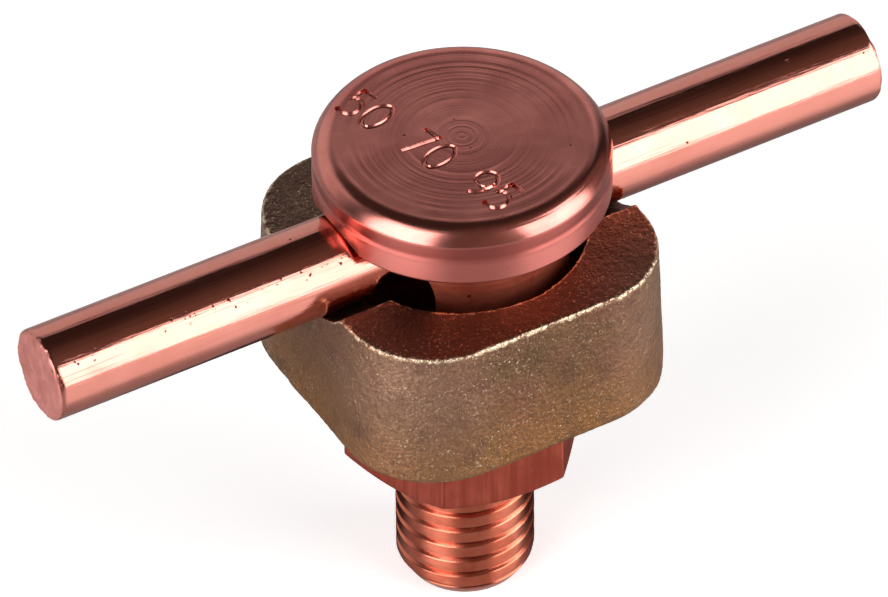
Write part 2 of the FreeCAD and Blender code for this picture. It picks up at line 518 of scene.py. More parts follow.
def arc(centre_x, centre_y, radius_x, radius_y, start, end, steps):
    """Points on an elliptical arc in a digit's cell, with angles in degrees."""
    turns = [math.radians(start + (end - start) * step / steps) for step in range(steps + 1)]
    return [Vector((centre_x + radius_x * math.cos(t), centre_y + radius_y * math.sin(t))) for t in turns]


def straight(*corners):
    """Points of a stroke of straight lines in a digit's cell."""
    return [Vector(corner) for corner in corners]


def digit_strokes(digit):
    """Strokes (points, closed) of a digit in a cell one unit high. Sharp corners part two strokes."""
    if digit == "0":
        return [(arc(0.30, 0.5, 0.28, 0.5, 0, 360, 28)[:-1], True)]
    if digit == "5":
        bar = straight((0.54, 1), (0.07, 1))
        stem = straight((0.11, 1.03), (0.05, 0.50))
        return [(bar, False), (stem, False), (arc(0.25, 0.32, 0.31, 0.33, 142, -135, 18), False)]
    if digit == "7":
        return [(straight((0.02, 1), (0.60, 1)), False), (straight((0.55, 1.03), (0.20, 0)), False)]
    if digit == "9":
        loop = arc(0.29, 0.69, 0.28, 0.30, 0, 360, 24)[:-1]
        return [(loop, True), (arc(0.08, 0.69, 0.49, 0.69, 0, -72, 12), False)]
    raise ValueError("no strokes for digit " + digit)


def stroke_grid(points, closed, sizes, lift):
    """Vertices and faces of one stamped stroke: a groove with sloping sides along the points."""
    top = BOLT_HIGH.z
    outer, middle, inner = (share * sizes.stroke for share in (0.62, 0.42, 0.16))
    over = top + 0.5 * sizes.depth + lift
    halfway = top - 0.55 * sizes.depth
    bottom = top - sizes.depth - lift
    near_side = ((-outer, over), (-middle, halfway), (-inner, bottom))
    far_side = ((inner, bottom), (middle, halfway))
    section = ((outer, over), *near_side, *far_side)
    vertices = []
    count = len(points)
    for index, point in enumerate(points):
        directions = []
        if closed or index > 0:
            directions.append((point - points[index - 1]).normalized())
        if closed or index < count - 1:
            directions.append((points[(index + 1) % count] - point).normalized())
        heading = sum(directions, Vector((0, 0))).normalized()
        side = Vector((-heading.y, heading.x)) / abs(heading.dot(directions[0]))
        for half, z in section:
            place = point + side * half
            vertices.append((place.x, place.y, z))
    return vertices, ring_grid(count, len(section), closed)


def numeral_cutter(sizes):
    """Cutter for the line of stamped numbers. Each stroke differs a little in height from the next."""
    along = Vector((math.cos(sizes.heading), math.sin(sizes.heading)))
    up = Vector((-along.y, along.x))
    digit_width = 0.6 * sizes.height
    line_length = sizes.pitch * (len(sizes.text) - 1) + digit_width
    start = Vector((sizes.centre_x, sizes.centre_y)) - along * line_length / 2 - up * sizes.height / 2
    vertices, faces = [], []
    for index, digit in enumerate(sizes.text):
        if digit == " ":
            continue
        corner = start + along * sizes.pitch * index
        for stroke, (points, closed) in enumerate(digit_strokes(digit)):
            placed = [corner + (along * p.x + up * p.y) * sizes.height for p in points]
            lift = 0.06 * sizes.depth * stroke
            stroke_vertices, stroke_faces = stroke_grid(placed, closed, sizes, lift)
            first = len(vertices)
            faces += [tuple(first + vertex for vertex in face) for face in stroke_faces]
            vertices += stroke_vertices
    return new_object("numeral_cutter", vertices, faces)


def thread_radius(phase, sizes):
    """Radius of the thread at a phase from -0.5 to 0.5 pitch about its rounded crest."""
    flank_foot, flank_width, crown = 0.49, 0.17, 0.07
    rise = np.clip((flank_foot - np.abs(phase)) / flank_width, 0, 1)
    rounded_rise = (1 - crown) * rise * rise * (3 - 2 * rise) + crown * (1 - 4 * phase * phase)
    return sizes.thread_root_radius + (sizes.stud_radius - sizes.thread_root_radius) * rounded_rise


def thread_mesh(sizes):
    """Grid that follows the right-hand helix from the stud's end up to the smooth stud."""
    thread_top = bolt_heights(sizes)[4]
    bottom = BOLT_LOW.z
    pitch = sizes.thread_pitch
    per_pitch = sizes.thread_steps
    fractions = np.arange(per_pitch) / per_pitch
    first = math.floor(bottom / pitch) - 2
    last = math.ceil(thread_top / pitch) + 1
    turns = np.array([whole + part for whole in range(first, last) for part in fractions])
    angles = 2 * np.pi * np.arange(sizes.segments) / sizes.segments
    turned_by = (angles[None, :] + sizes.thread_phase) / (2 * np.pi)
    z = np.clip((turns[:, None] + turned_by) * pitch, bottom, thread_top)
    phase = z / pitch - turned_by
    phase = phase - np.round(phase)
    radius = thread_radius(phase, sizes)
    smooth_length = 0.3 * MM
    runout = np.clip((thread_top - smooth_length - z) / pitch, 0, 1)
    radius = sizes.stud_radius - (sizes.stud_radius - radius) * runout
    tip = sizes.stud_radius - sizes.tip_radial + (z - bottom) * sizes.tip_radial / sizes.tip_length
    radius = np.minimum(radius, tip)
    vertices = np.stack([radius * np.cos(angles), radius * np.sin(angles), z], axis=2).reshape(-1, 3)
    faces = []
    segments = sizes.segments
    for row in range(len(turns) - per_pitch - 1):
        for step in range(segments):
            after = step + 1
            shift = 0
            if after == segments:
                after = 0
                shift = per_pitch
            here = row * segments
            above = (row + 1) * segments
            lift = shift * segments
            faces.append((here + step, here + lift + after, above + lift + after, above + step))
    return vertices, faces


def lies_at(element, height):
    """Whether an edge or a face lies wholly at a height."""
    return all(abs(vertex.co.z - height) < MERGE_DISTANCE for vertex in element.verts)


def close_stud_end(work, bottom):
    """Closes the stud's end with a fan of triangles about its centre."""
    rim = [edge for edge in work.edges if edge.is_boundary and lies_at(edge, bottom)]
    centre = work.verts.new((0, 0, bottom))
    for edge in rim:
        work.faces.new((edge.verts[0], edge.verts[1], centre))


def make_clamp_bolt(settings):
    """Bolt with its round head, cross hole, stamped numbers and real thread, as one closed mesh."""
    sizes = settings.bolt
    bolt = turned("turned_bolt", bolt_profile(sizes), sizes.segments)
    cut(bolt, [cross_hole_cutter(sizes), numeral_cutter(settings.numerals)])

    thread_top = bolt_heights(sizes)[4]
    work = bmesh.new()
    work.from_mesh(bolt.data)
    caps = [face for face in work.faces if lies_at(face, thread_top)]
    bmesh.ops.delete(work, geom=caps, context="FACES_ONLY")
    vertices, faces = thread_mesh(sizes)
    thread = bpy.data.meshes.new("thread")
    thread.from_pydata(vertices.tolist(), [], faces)
    work.from_mesh(thread)
    bpy.data.meshes.remove(thread)
    bmesh.ops.remove_doubles(work, verts=work.verts, dist=MERGE_DISTANCE)
    bmesh.ops.dissolve_degenerate(work, edges=work.edges, dist=MERGE_DISTANCE / 2)
    loose = [v for v in work.verts if not v.link_faces]
    bmesh.ops.delete(work, geom=loose, context="VERTS")
    close_stud_end(work, BOLT_LOW.z)
    bmesh.ops.recalc_face_normals(work, faces=work.faces)
    work.to_mesh(bolt.data)
    work.free()
    shade(bolt, sharp_angle=38)
    seat(bolt, "bolt", "clamp_bolt", forged_copper(settings))


# Clamp block

def grain_height(point, sizes):
    """Height of the cast skin at a point. Soft lumps and sand grains stay below the solid's face."""
    finer, elsewhere = 2.3, Vector((7, 3, 5))
    deepest_grain, grain_top, lump_top = -0.6, 0.5, 0.6
    lumps = noise.noise(point / sizes.lump_size)
    grains = noise.noise(point / sizes.grain_size)
    fine = noise.noise(point / sizes.grain_size * finer + elsewhere)
    grain = max(grains + 0.5 * fine, deepest_grain)
    lump_height = sizes.lump_depth * (lumps - lump_top) / (2 * lump_top)
    return lump_height + sizes.grain_depth * (grain - grain_top)


def flash_height(positions, sizes):
    """Height of the small remnant of a gate, left where the lower edge was trimmed."""
    offset = positions - np.array((sizes.flash_x, sizes.flash_y, sizes.flash_z))
    across = np.linalg.norm(offset[:, :2], axis=1) / sizes.flash_radius
    upward = np.abs(offset[:, 2]) / sizes.flash_half_height
    return sizes.flash_rise * np.sqrt(np.clip(1 - across, 0, 1) * np.clip(1 - upward, 0, 1))


def make_clamp_block(settings):
    """Cast block with the rough skin of a sand casting."""
    sizes = settings.block
    block = place_object("cast_block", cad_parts["clamp_block"].data.copy())
    remesh = block.modifiers.new("Skin", "REMESH")
    remesh.mode = "VOXEL"
    remesh.voxel_size = sizes.voxel
    bake_modifiers(block)
    mesh = block.data
    store_edge_wear(mesh, smoothing_rounds=2)
    centre = (BLOCK_LOW + BLOCK_HIGH) / 2
    recess_margin = 0.1 * MM
    store_top_shade(mesh, centre, sizes.recess_radius + recess_margin)
    positions, normals = mesh_points(mesh)
    heights = np.array([grain_height(Vector(p), sizes) for p in positions])
    heights += flash_height(positions, sizes)
    moved = positions + normals * heights[:, None]
    moved = np.clip(moved, np.array(BLOCK_LOW), np.array(BLOCK_HIGH))
    mesh.vertices.foreach_set("co", moved.astype(np.float32).ravel())
    mesh.update()
    mesh.shade_smooth()
    seat(block, "block", "clamp_block", cast_gunmetal(settings))


# Hexagon nut

def hexagon_radius(turn, sizes):
    """Distance from the axis to the rounded hexagon, where turn is measured from a corner."""
    half_flats = sizes.across_flats / 2
    from_corner = abs((turn + math.pi / 6) % (math.pi / 3) - math.pi / 6)
    flat = half_flats / math.cos(math.pi / 6 - from_corner)
    round_centre = (half_flats - sizes.corner_round) / math.cos(math.pi / 6)
    along = round_centre + sizes.corner_round * math.cos(math.pi / 6)
    tangent_turn = math.atan2(sizes.corner_round * math.sin(math.pi / 6), along)
    if from_corner >= tangent_turn:
        return flat
    across = round_centre * math.sin(from_corner)
    return round_centre * math.cos(from_corner) + math.sqrt(sizes.corner_round ** 2 - across ** 2)


def nut_turns():
    """Turns round the nut, closer together at the rounded corners."""
    corner_steps = [-1.6, -1.1, -0.7, -0.35, 0, 0.35, 0.7, 1.1, 1.6]
    flat_start, flat_width, flat_count = 3, 54, 22
    flat_steps = [flat_start + flat_width * step / flat_count for step in range(flat_count + 1)]
    turns = []
    for side in range(6):
        turns += [math.radians(60 * side + step) for step in corner_steps + flat_steps]
    return turns


def make_hex_nut(settings):
    """Hexagon nut with rounded corners, a chamfer at each face and a countersunk bore."""
    sizes = settings.nut
    low, high = NUT_LOW.z, NUT_HIGH.z
    slope = math.tan(sizes.chamfer_angle)
    face_radius = sizes.washer_face / 2
    edge = sizes.edge_round
    bore = sizes.bore_radius
    sink = sizes.countersink
    edge_in, edge_down = 0.3 * edge, 0.25 * edge
    bore_ring_depth = 2.5 * MM
    chamfer_ring = 0.35
    vertices = []
    turns = nut_turns()
    profiles = []
    for turn in turns:
        outer = hexagon_radius(turn, sizes)
        drop = (outer - face_radius) * slope
        upper_half = [
            (bore, high - sink - bore_ring_depth),
            (bore, high - sink),
            (bore + sink, high),
            (face_radius - edge, high),
            (face_radius, high - edge * slope / 3),
            (face_radius + (outer - face_radius) * chamfer_ring, high - drop * chamfer_ring),
            (outer - edge, high - drop + edge * slope),
            (outer - edge_in, high - drop - edge_down),
            (outer, high - drop - edge),
            (outer, high - drop - 2.5 * edge),
        ]
        lower_half = [(r, low + high - z) for r, z in reversed(upper_half)]
        profiles.append(upper_half + lower_half)
    rows = len(profiles[0])
    for row in range(rows):
        for turn, profile in zip(turns, profiles):
            r, z = profile[row]
            place = turn + sizes.rest_angle
            vertices.append((r * math.cos(place), r * math.sin(place), z))
    nut = new_object("chamfered_nut", vertices, ring_grid(rows, len(turns), True))
    shade(nut, sharp_angle=32)
    seat(nut, "nut", "hex_nut", nut_copper(settings))


# Round conductor

def make_round_conductor(settings):
    """Short length of round bar with sheared ends."""
    sizes = settings.conductor
    radius = (CONDUCTOR_HIGH.z - CONDUCTOR_LOW.z) / 2
    centre_z = (CONDUCTOR_HIGH.z + CONDUCTOR_LOW.z) / 2
    half = (CONDUCTOR_HIGH.x - CONDUCTOR_LOW.x) / 2
    centre_x = (CONDUCTOR_HIGH.x + CONDUCTOR_LOW.x) / 2
    flat_radius = radius - sizes.end_round
    ring_count = 22
    face_rings = [Vector((flat_radius * step / ring_count, half)) for step in range(1, ring_count)]
    corners = [(flat_radius, half, 0), (radius, half, sizes.end_round), (radius, 0, 0)]
    edge = rounded_profile(corners, arc_steps=8)
    side = [Vector((radius, along)) for along in (half - sizes.end_round - 2 * SUPPORT, half * 0.5, 0)]
    end = face_rings + edge[1:-1] + side
    other = [Vector((r, -x)) for r, x in reversed(end[:-1])]
    profile = end + other
    segments = sizes.segments
    coarse_marks, fine_marks, fine_share = 0.9 * MM, 0.35 * MM, 0.6
    tilt_heading = 1.1
    even_share, rough_share, tilt_share = 0.5, 0.4, 0.6
    vertices = []
    for r, along in profile:
        inset = min(1, max(0, (abs(along) - half + sizes.end_marks) / sizes.end_marks))
        for step in range(segments):
            turn = 2 * math.pi * step / segments
            y, z = r * math.cos(turn), r * math.sin(turn)
            place = Vector((along, y, z))
            rough = noise.noise(place / coarse_marks) + fine_share * noise.noise(place / fine_marks)
            tilt = 0.5 + 0.5 * math.sin(turn + tilt_heading) * r / radius
            share = even_share + rough_share * rough + tilt_share * tilt
            depth = sizes.end_roughness * inset * share
            x = along - math.copysign(depth, along)
            vertices.append((centre_x + x, y, centre_z + z))
    conductor = new_object("cut_conductor", vertices, ring_grid(len(profile), segments))
    shade(conductor, sharp_angle=50)
    seat(conductor, "conductor", "round_conductor", drawn_copper(settings))


# Shader helpers

def opaque(rgb):
    """Colour with its alpha."""
    return (*rgb, 1.0)


def darker(rgb, share):
    """Colour with a share of its light."""
    return [share * part for part in rgb]


def set_inputs(tree, node, inputs):
    """Sets each input of a node to a value, or joins it to a socket."""
    for name, value in inputs.items():
        socket = node.inputs[name]
        if isinstance(value, bpy.types.NodeSocket):
            tree.links.new(value, socket)
        elif socket.type == "RGBA":
            socket.default_value = opaque(value)
        else:
            socket.default_value = value


def add(tree, kind, inputs=None, **settings):
    """New shader node of a kind, with its settings made and its inputs set."""
    made = tree.nodes.new("ShaderNode" + kind)
    for name, value in settings.items():
        setattr(made, name, value)
    set_inputs(tree, made, inputs or {})
    return made


def calculate(tree, operation, first, second=0.0):
    """Result of a Math node."""
    return add(tree, "Math", {0: first, 1: second}, operation=operation).outputs[0]


def multiply(tree, first, second):
    """Product of two values."""
    return calculate(tree, "MULTIPLY", first, second)


def subtract(tree, first, second):
    """First value less the second."""
    return calculate(tree, "SUBTRACT", first, second)


def vector_math(tree, operation, inputs):
    """Outputs of a Vector Math node."""
    return add(tree, "VectorMath", inputs, operation=operation).outputs


def remap(tree, value, low, high, to_low=0.0, to_high=1.0):
    """Value moved from one range to another, and kept inside it."""
    inputs = {"Value": value, "From Min": low, "From Max": high, "To Min": to_low, "To Max": to_high}
    return add(tree, "MapRange", inputs).outputs[0]


def blend_values(tree, factor, first, second):
    """Value mixed from two."""
    return add(tree, "Mix", {0: factor, 2: first, 3: second}, data_type="FLOAT").outputs[0]


def blend_colours(tree, factor, first, second):
    """Colour mixed from two."""
    return add(tree, "Mix", {0: factor, 6: first, 7: second}, data_type="RGBA").outputs[2]


def object_place(tree):
    """Object coordinates of the shaded point."""
    return add(tree, "TexCoord").outputs["Object"]


def coordinates(tree):
    """Object coordinates of the shaded point, whole and as X, Y and Z."""
    place = object_place(tree)
    parts = add(tree, "SeparateXYZ", {0: place}).outputs
    return place, parts[0], parts[1], parts[2]


def across_distance(tree, first, second):
    """Length of the vector with two parts."""
    pair = add(tree, "CombineXYZ", {0: first, 1: second}).outputs[0]
    return vector_math(tree, "LENGTH", {0: pair})["Value"]


def noise_at(tree, place, scale, detail=2.0, roughness=0.5, distortion=0.0):
    """Value of a noise texture."""
    inputs = {"Vector": place, "Scale": scale, "Detail": detail, "Roughness": roughness}
    return add(tree, "TexNoise", {**inputs, "Distortion": distortion}).outputs[0]


def noise_along(tree, travel, scale, detail, roughness):
    """Value of a noise texture along a line."""
    inputs = {"W": travel, "Scale": scale, "Detail": detail, "Roughness": roughness}
    return add(tree, "TexNoise", inputs, noise_dimensions="1D").outputs[0]


def vertex_value(tree, name):
    """Value that the mesh stores at its vertices."""
    return add(tree, "Attribute", attribute_name=name).outputs["Fac"]


def bump(tree, height, distance, normal=None):
    """Normal from a height, whose full range is a distance in metres."""
    inputs = {"Height": height, "Strength": 1.0, "Distance": distance}
    if normal is not None:
        inputs["Normal"] = normal
    return add(tree, "Bump", inputs).outputs[0]


# Shader groups

def shader_group(name, inputs, outputs):
    """New shader node group. Returns its tree, the sockets it is given and the node of its results."""
    tree = bpy.data.node_groups.new(name, "ShaderNodeTree")
    for socket_name, socket_type, default in inputs:
        socket = tree.interface.new_socket(name=socket_name, in_out="INPUT", socket_type=socket_type)
        socket.default_value = default
    for socket_name, socket_type in outputs:
        tree.interface.new_socket(name=socket_name, in_out="OUTPUT", socket_type=socket_type)
    return tree, tree.nodes.new("NodeGroupInput").outputs, tree.nodes.new("NodeGroupOutput")


def tarnish_group(name):
    """Soft patches between a clean and a dull colour."""
    tree, given, results = shader_group(
        name,
        [("Scale", "NodeSocketFloat", 200.0), ("Amount", "NodeSocketFloat", 0.5),
         ("Clean", "NodeSocketColor", opaque((1, 1, 1))), ("Dull", "NodeSocketColor", opaque((0, 0, 0)))],
        [("Color", "NodeSocketColor"), ("Mask", "NodeSocketFloat")],
    )
    place = object_place(tree)
    patches = noise_at(tree, place, given["Scale"], detail=6.0, roughness=0.62, distortion=0.4)
    mask = multiply(tree, remap(tree, patches, 0.36, 0.66), given["Amount"])
    colour_between = blend_colours(tree, mask, given["Clean"], given["Dull"])
    set_inputs(tree, results, {"Mask": mask, "Color": colour_between})
    return tree


def turning_marks_group(name):
    """Rings about Z that a lathe tool leaves on faces and sides, fine ones and broad ones."""
    tree, given, results = shader_group(
        name,
        [("Pitch", "NodeSocketFloat", 3000.0)],
        [("Fine", "NodeSocketFloat"), ("Broad", "NodeSocketFloat")],
    )
    place, x, y, z = coordinates(tree)
    travel = subtract(tree, across_distance(tree, x, y), z)
    along = multiply(tree, travel, given["Pitch"])
    fine = noise_along(tree, along, scale=1.0, detail=3.0, roughness=0.7)
    broad = noise_along(tree, along, scale=0.3, detail=1.5, roughness=0.5)
    presence = remap(tree, noise_at(tree, place, 140.0), 0.38, 0.62, to_low=0.15)
    set_inputs(tree, results, {
        "Fine": multiply(tree, fine, presence),
        "Broad": multiply(tree, broad, presence),
    })
    return tree


def specks_group(name):
    """Small dark pits and stains of uneven outline, thinly spread."""
    tree, given, results = shader_group(
        name,
        [("Scale", "NodeSocketFloat", 900.0), ("Density", "NodeSocketFloat", 0.3)],
        [("Mask", "NodeSocketFloat"), ("Height", "NodeSocketFloat")],
    )
    unevenness = 0.35 * MM
    least_size, largest_size, soft_edge = 0.06, 0.34, 0.10
    place = object_place(tree)
    shift = add(tree, "TexNoise", {"Vector": place, "Scale": 4200.0, "Detail": 2.0}).outputs["Color"]
    shift = vector_math(tree, "MULTIPLY", {0: shift, 1: (unevenness, unevenness, unevenness)})[0]
    place = vector_math(tree, "ADD", {0: place, 1: shift})[0]
    cells = add(tree, "TexVoronoi", {"Vector": place, "Scale": given["Scale"]}, feature="F1").outputs
    parts = add(tree, "SeparateColor", {0: cells["Color"]}).outputs
    chosen = calculate(tree, "LESS_THAN", parts[0], given["Density"])
    size = remap(tree, parts[1], 0.0, 1.0, least_size, largest_size)
    spot = remap(tree, subtract(tree, size, cells["Distance"]), 0.0, soft_edge)
    mask = multiply(tree, spot, chosen)
    set_inputs(tree, results, {"Mask": mask, "Height": multiply(tree, mask, -1.0)})
    return tree


def scratches_group(name):
    """Thin lines drawn out along one axis."""
    tree, given, results = shader_group(
        name,
        [("Scale", "NodeSocketVector", (40.0, 2500.0, 2500.0)), ("Threshold", "NodeSocketFloat", 0.6)],
        [("Mask", "NodeSocketFloat"), ("Height", "NodeSocketFloat")],
    )
    stretched = vector_math(tree, "MULTIPLY", {0: object_place(tree), 1: given["Scale"]})[0]
    lines = noise_at(tree, stretched, 1.0, detail=4.0, roughness=0.6)
    over = subtract(tree, lines, given["Threshold"])
    set_inputs(tree, results, {"Mask": remap(tree, over, 0.0, 0.08), "Height": lines})
    return tree


GROUP_BUILDERS = {
    "Tarnish": tarnish_group,
    "Turning marks": turning_marks_group,
    "Specks": specks_group,
    "Scratches": scratches_group,
}


def group_outputs(tree, name, inputs):
    """Outputs of a node that places a shader group, which is built once."""
    group = bpy.data.node_groups.get(name) or GROUP_BUILDERS[name](name)
    return add(tree, "Group", inputs, node_tree=group).outputs


def tarnish(tree, scale, amount, clean, dull):
    """Outputs of soft patches between a clean and a dull colour."""
    return group_outputs(tree, "Tarnish", {"Scale": scale, "Amount": amount, "Clean": clean, "Dull": dull})


# Materials

def fresh_material(name):
    """New node material, in place of one that an earlier run made."""
    previous = bpy.data.materials.get(name)
    if previous is not None:
        bpy.data.materials.remove(previous)
    material = bpy.data.materials.new(name)
    material.use_nodes = True
    return material


def metal_material(name):
    """New material. Returns it with its tree and its Principled shader."""
    material = fresh_material(name)
    tree = material.node_tree
    return material, tree, tree.nodes["Principled BSDF"]


def forged_copper(settings):
    """Copper of the bolt: turned on the head, redder and duller below it, and dark with painted shade in
    the drilled hole.
    """
    finish = settings.finish
    sizes = settings.bolt
    head_bottom, hole_centre, _, taper_bottom, _ = bolt_heights(sizes)
    hole_radius = sizes.hole_radius
    profile = rim_profile(sizes)
    rim_start, rim_bottom = profile[0][0], profile[-1][1]
    skirt_top = head_bottom + sizes.skirt_height
    material, tree, shader = metal_material("forged_copper_finish")
    place, x, y, z = coordinates(tree)
    from_axis = across_distance(tree, x, y)
    from_hole = across_distance(tree, y, subtract(tree, z, hole_centre))

    # Masks of the regions
    raw = remap(tree, z, head_bottom + 0.1 * MM, head_bottom - 0.1 * MM)
    stud = remap(tree, z, taper_bottom + 0.6 * MM, taper_bottom - 0.6 * MM)
    # Painted shade inside the cross hole
    hole_shade = remap(tree, from_hole, hole_radius + 0.2 * MM, hole_radius + 0.05 * MM)
    side = remap(tree, z, rim_bottom + 0.2 * MM, rim_bottom - 0.1 * MM)
    skirt = remap(tree, z, skirt_top + 0.5 * MM, skirt_top - 0.2 * MM)
    rim = remap(tree, from_axis, rim_start, rim_start + 0.5 * MM)
    # Darker colour in the stud's thread roots
    thread_groove = remap(tree, from_axis, 5.93 * MM, 5.6 * MM, to_high=0.6)
    darker_roots = multiply(tree, stud, thread_groove)

    head = tarnish(tree, 150.0, 0.8, finish.forged_clean, finish.forged_dull)
    below = tarnish(tree, 420.0, 0.9, finish.raw_clean, finish.raw_dull)
    marks = group_outputs(tree, "Turning marks", {"Pitch": 5200.0})
    specks = group_outputs(tree, "Specks", {"Scale": 1500.0, "Density": 0.02})
    # Dark colour of real specks, also used for the painted shade in the hole
    stain_and_hole_shade = darker(finish.raw_dull, 0.3)
    streak = remap(tree, marks["Broad"], 0.2, 0.55, to_high=0.35)
    base = blend_colours(tree, streak, head["Color"], finish.forged_dull)
    # Darker waist band: partly its turned finish, partly painted shade for its dark reflection
    base = blend_colours(tree, side, base, finish.waist_shade_copper)
    base = blend_colours(tree, skirt, base, finish.skirt_copper)
    base = blend_colours(tree, raw, base, below["Color"])
    base = blend_colours(tree, specks["Mask"], base, stain_and_hole_shade)
    base = blend_colours(tree, hole_shade, base, stain_and_hole_shade)
    base = blend_colours(tree, darker_roots, base, darker(finish.raw_dull, 0.4))

    clean_rough, dull_rough, rim_rough, side_rough = 0.20, 0.30, 0.21, 0.34
    raw_rough, stud_rough = 0.46, 0.22
    rough = remap(tree, head["Mask"], 0.0, 0.8, clean_rough, dull_rough)
    rough = blend_values(tree, rim, rough, rim_rough)
    rough = blend_values(tree, side, rough, side_rough)
    rough = blend_values(tree, raw, rough, remap(tree, stud, 0.0, 1.0, raw_rough, stud_rough))

    skin_presence = subtract(tree, raw, multiply(tree, stud, 0.75))
    forged_skin = multiply(tree, noise_at(tree, place, 1400.0, detail=3.0, roughness=0.6), skin_presence)
    normal = bump(tree, marks["Fine"], 0.007 * MM)
    normal = bump(tree, marks["Broad"], 0.03 * MM, normal)
    normal = bump(tree, forged_skin, 0.04 * MM, normal)
    normal = bump(tree, specks["Height"], 0.02 * MM, normal)
    set_inputs(tree, shader, {"Base Color": base, "Metallic": 1.0, "Roughness": rough, "Normal": normal})
    return material


def nut_copper(settings):
    """Satin red copper of the nut."""
    finish = settings.finish
    material, tree, shader = metal_material("nut_copper_finish")
    patches = tarnish(tree, 260.0, 0.8, finish.nut_clean, finish.nut_dull)
    scratches = group_outputs(tree, "Scratches", {"Scale": (1500.0, 1500.0, 80.0), "Threshold": 0.62})
    streaks = remap(tree, scratches["Height"], 0.42, 0.60, to_high=0.8)
    base = blend_colours(tree, streaks, patches["Color"], finish.nut_dull)

    clean_rough, dull_rough = 0.38, 0.50
    rough = remap(tree, patches["Mask"], 0.0, 0.8, clean_rough, dull_rough)
    normal = bump(tree, scratches["Height"], 0.012 * MM)
    normal = bump(tree, noise_at(tree, object_place(tree), 500.0), 0.02 * MM, normal)
    set_inputs(tree, shader, {"Base Color": base, "Metallic": 1.0, "Roughness": rough, "Normal": normal})
    return material


def drawn_copper(settings):
    """Bright drawn copper of the conductor, with a few pits along one side and dull sheared ends."""
    finish = settings.finish
    material, tree, shader = metal_material("drawn_copper_finish")
    place, x, y, z = coordinates(tree)
    centre = (CONDUCTOR_LOW + CONDUCTOR_HIGH) / 2
    half = (CONDUCTOR_HIGH.x - CONDUCTOR_LOW.x) / 2
    from_middle = calculate(tree, "ABSOLUTE", subtract(tree, x, centre.x))
    sheared = remap(tree, subtract(tree, half, from_middle), 0.45 * MM, 0.25 * MM)

    # Pits lie along one line, from the middle towards the left end
    turn = calculate(tree, "ARCTAN2", subtract(tree, z, centre.z), multiply(tree, y, -1.0))
    off_line = calculate(tree, "ABSOLUTE", subtract(tree, turn, settings.conductor.pit_line))
    near_line = remap(tree, off_line, math.radians(11), math.radians(2))
    pitted = multiply(tree, near_line, remap(tree, x, -9 * MM, -14 * MM))
    fewest_pits, most_pits = 0.015, 0.8
    density = remap(tree, pitted, 0.0, 1.0, fewest_pits, most_pits)

    skin = tarnish(tree, 110.0, 0.4, finish.drawn_clean, finish.drawn_dull)
    end_skin = tarnish(tree, 600.0, 0.9, finish.sheared_clean, finish.sheared_dull)
    specks = group_outputs(tree, "Specks", {"Scale": 2100.0, "Density": density})
    scratches = group_outputs(tree, "Scratches", {"Scale": (60.0, 2400.0, 2400.0), "Threshold": 0.58})
    scratched = multiply(tree, scratches["Mask"], 0.35)
    drawn = blend_colours(tree, scratched, skin["Color"], finish.drawn_dull)
    base = blend_colours(tree, sheared, drawn, end_skin["Color"])
    base = blend_colours(tree, specks["Mask"], base, darker(finish.drawn_dull, 0.12))

    drawn_rough, scratched_rough, sheared_extra = 0.10, 0.20, 0.36
    rough = remap(tree, scratches["Mask"], 0.0, 1.0, drawn_rough, scratched_rough)
    rough = calculate(tree, "ADD", rough, multiply(tree, sheared, sheared_extra))
    metallic = remap(tree, sheared, 0.0, 1.0, to_low=1.0, to_high=0.35)
    end_marks = multiply(tree, noise_at(tree, place, 1100.0, detail=4.0, roughness=0.65), sheared)
    normal = bump(tree, scratches["Height"], 0.026 * MM)
    normal = bump(tree, noise_at(tree, place, 130.0), 0.07 * MM, normal)
    normal = bump(tree, end_marks, 0.12 * MM, normal)
    normal = bump(tree, specks["Height"], 0.03 * MM, normal)
    look = {"Base Color": base, "Metallic": metallic, "Roughness": rough, "Normal": normal}
    set_inputs(tree, shader, look)
    return material


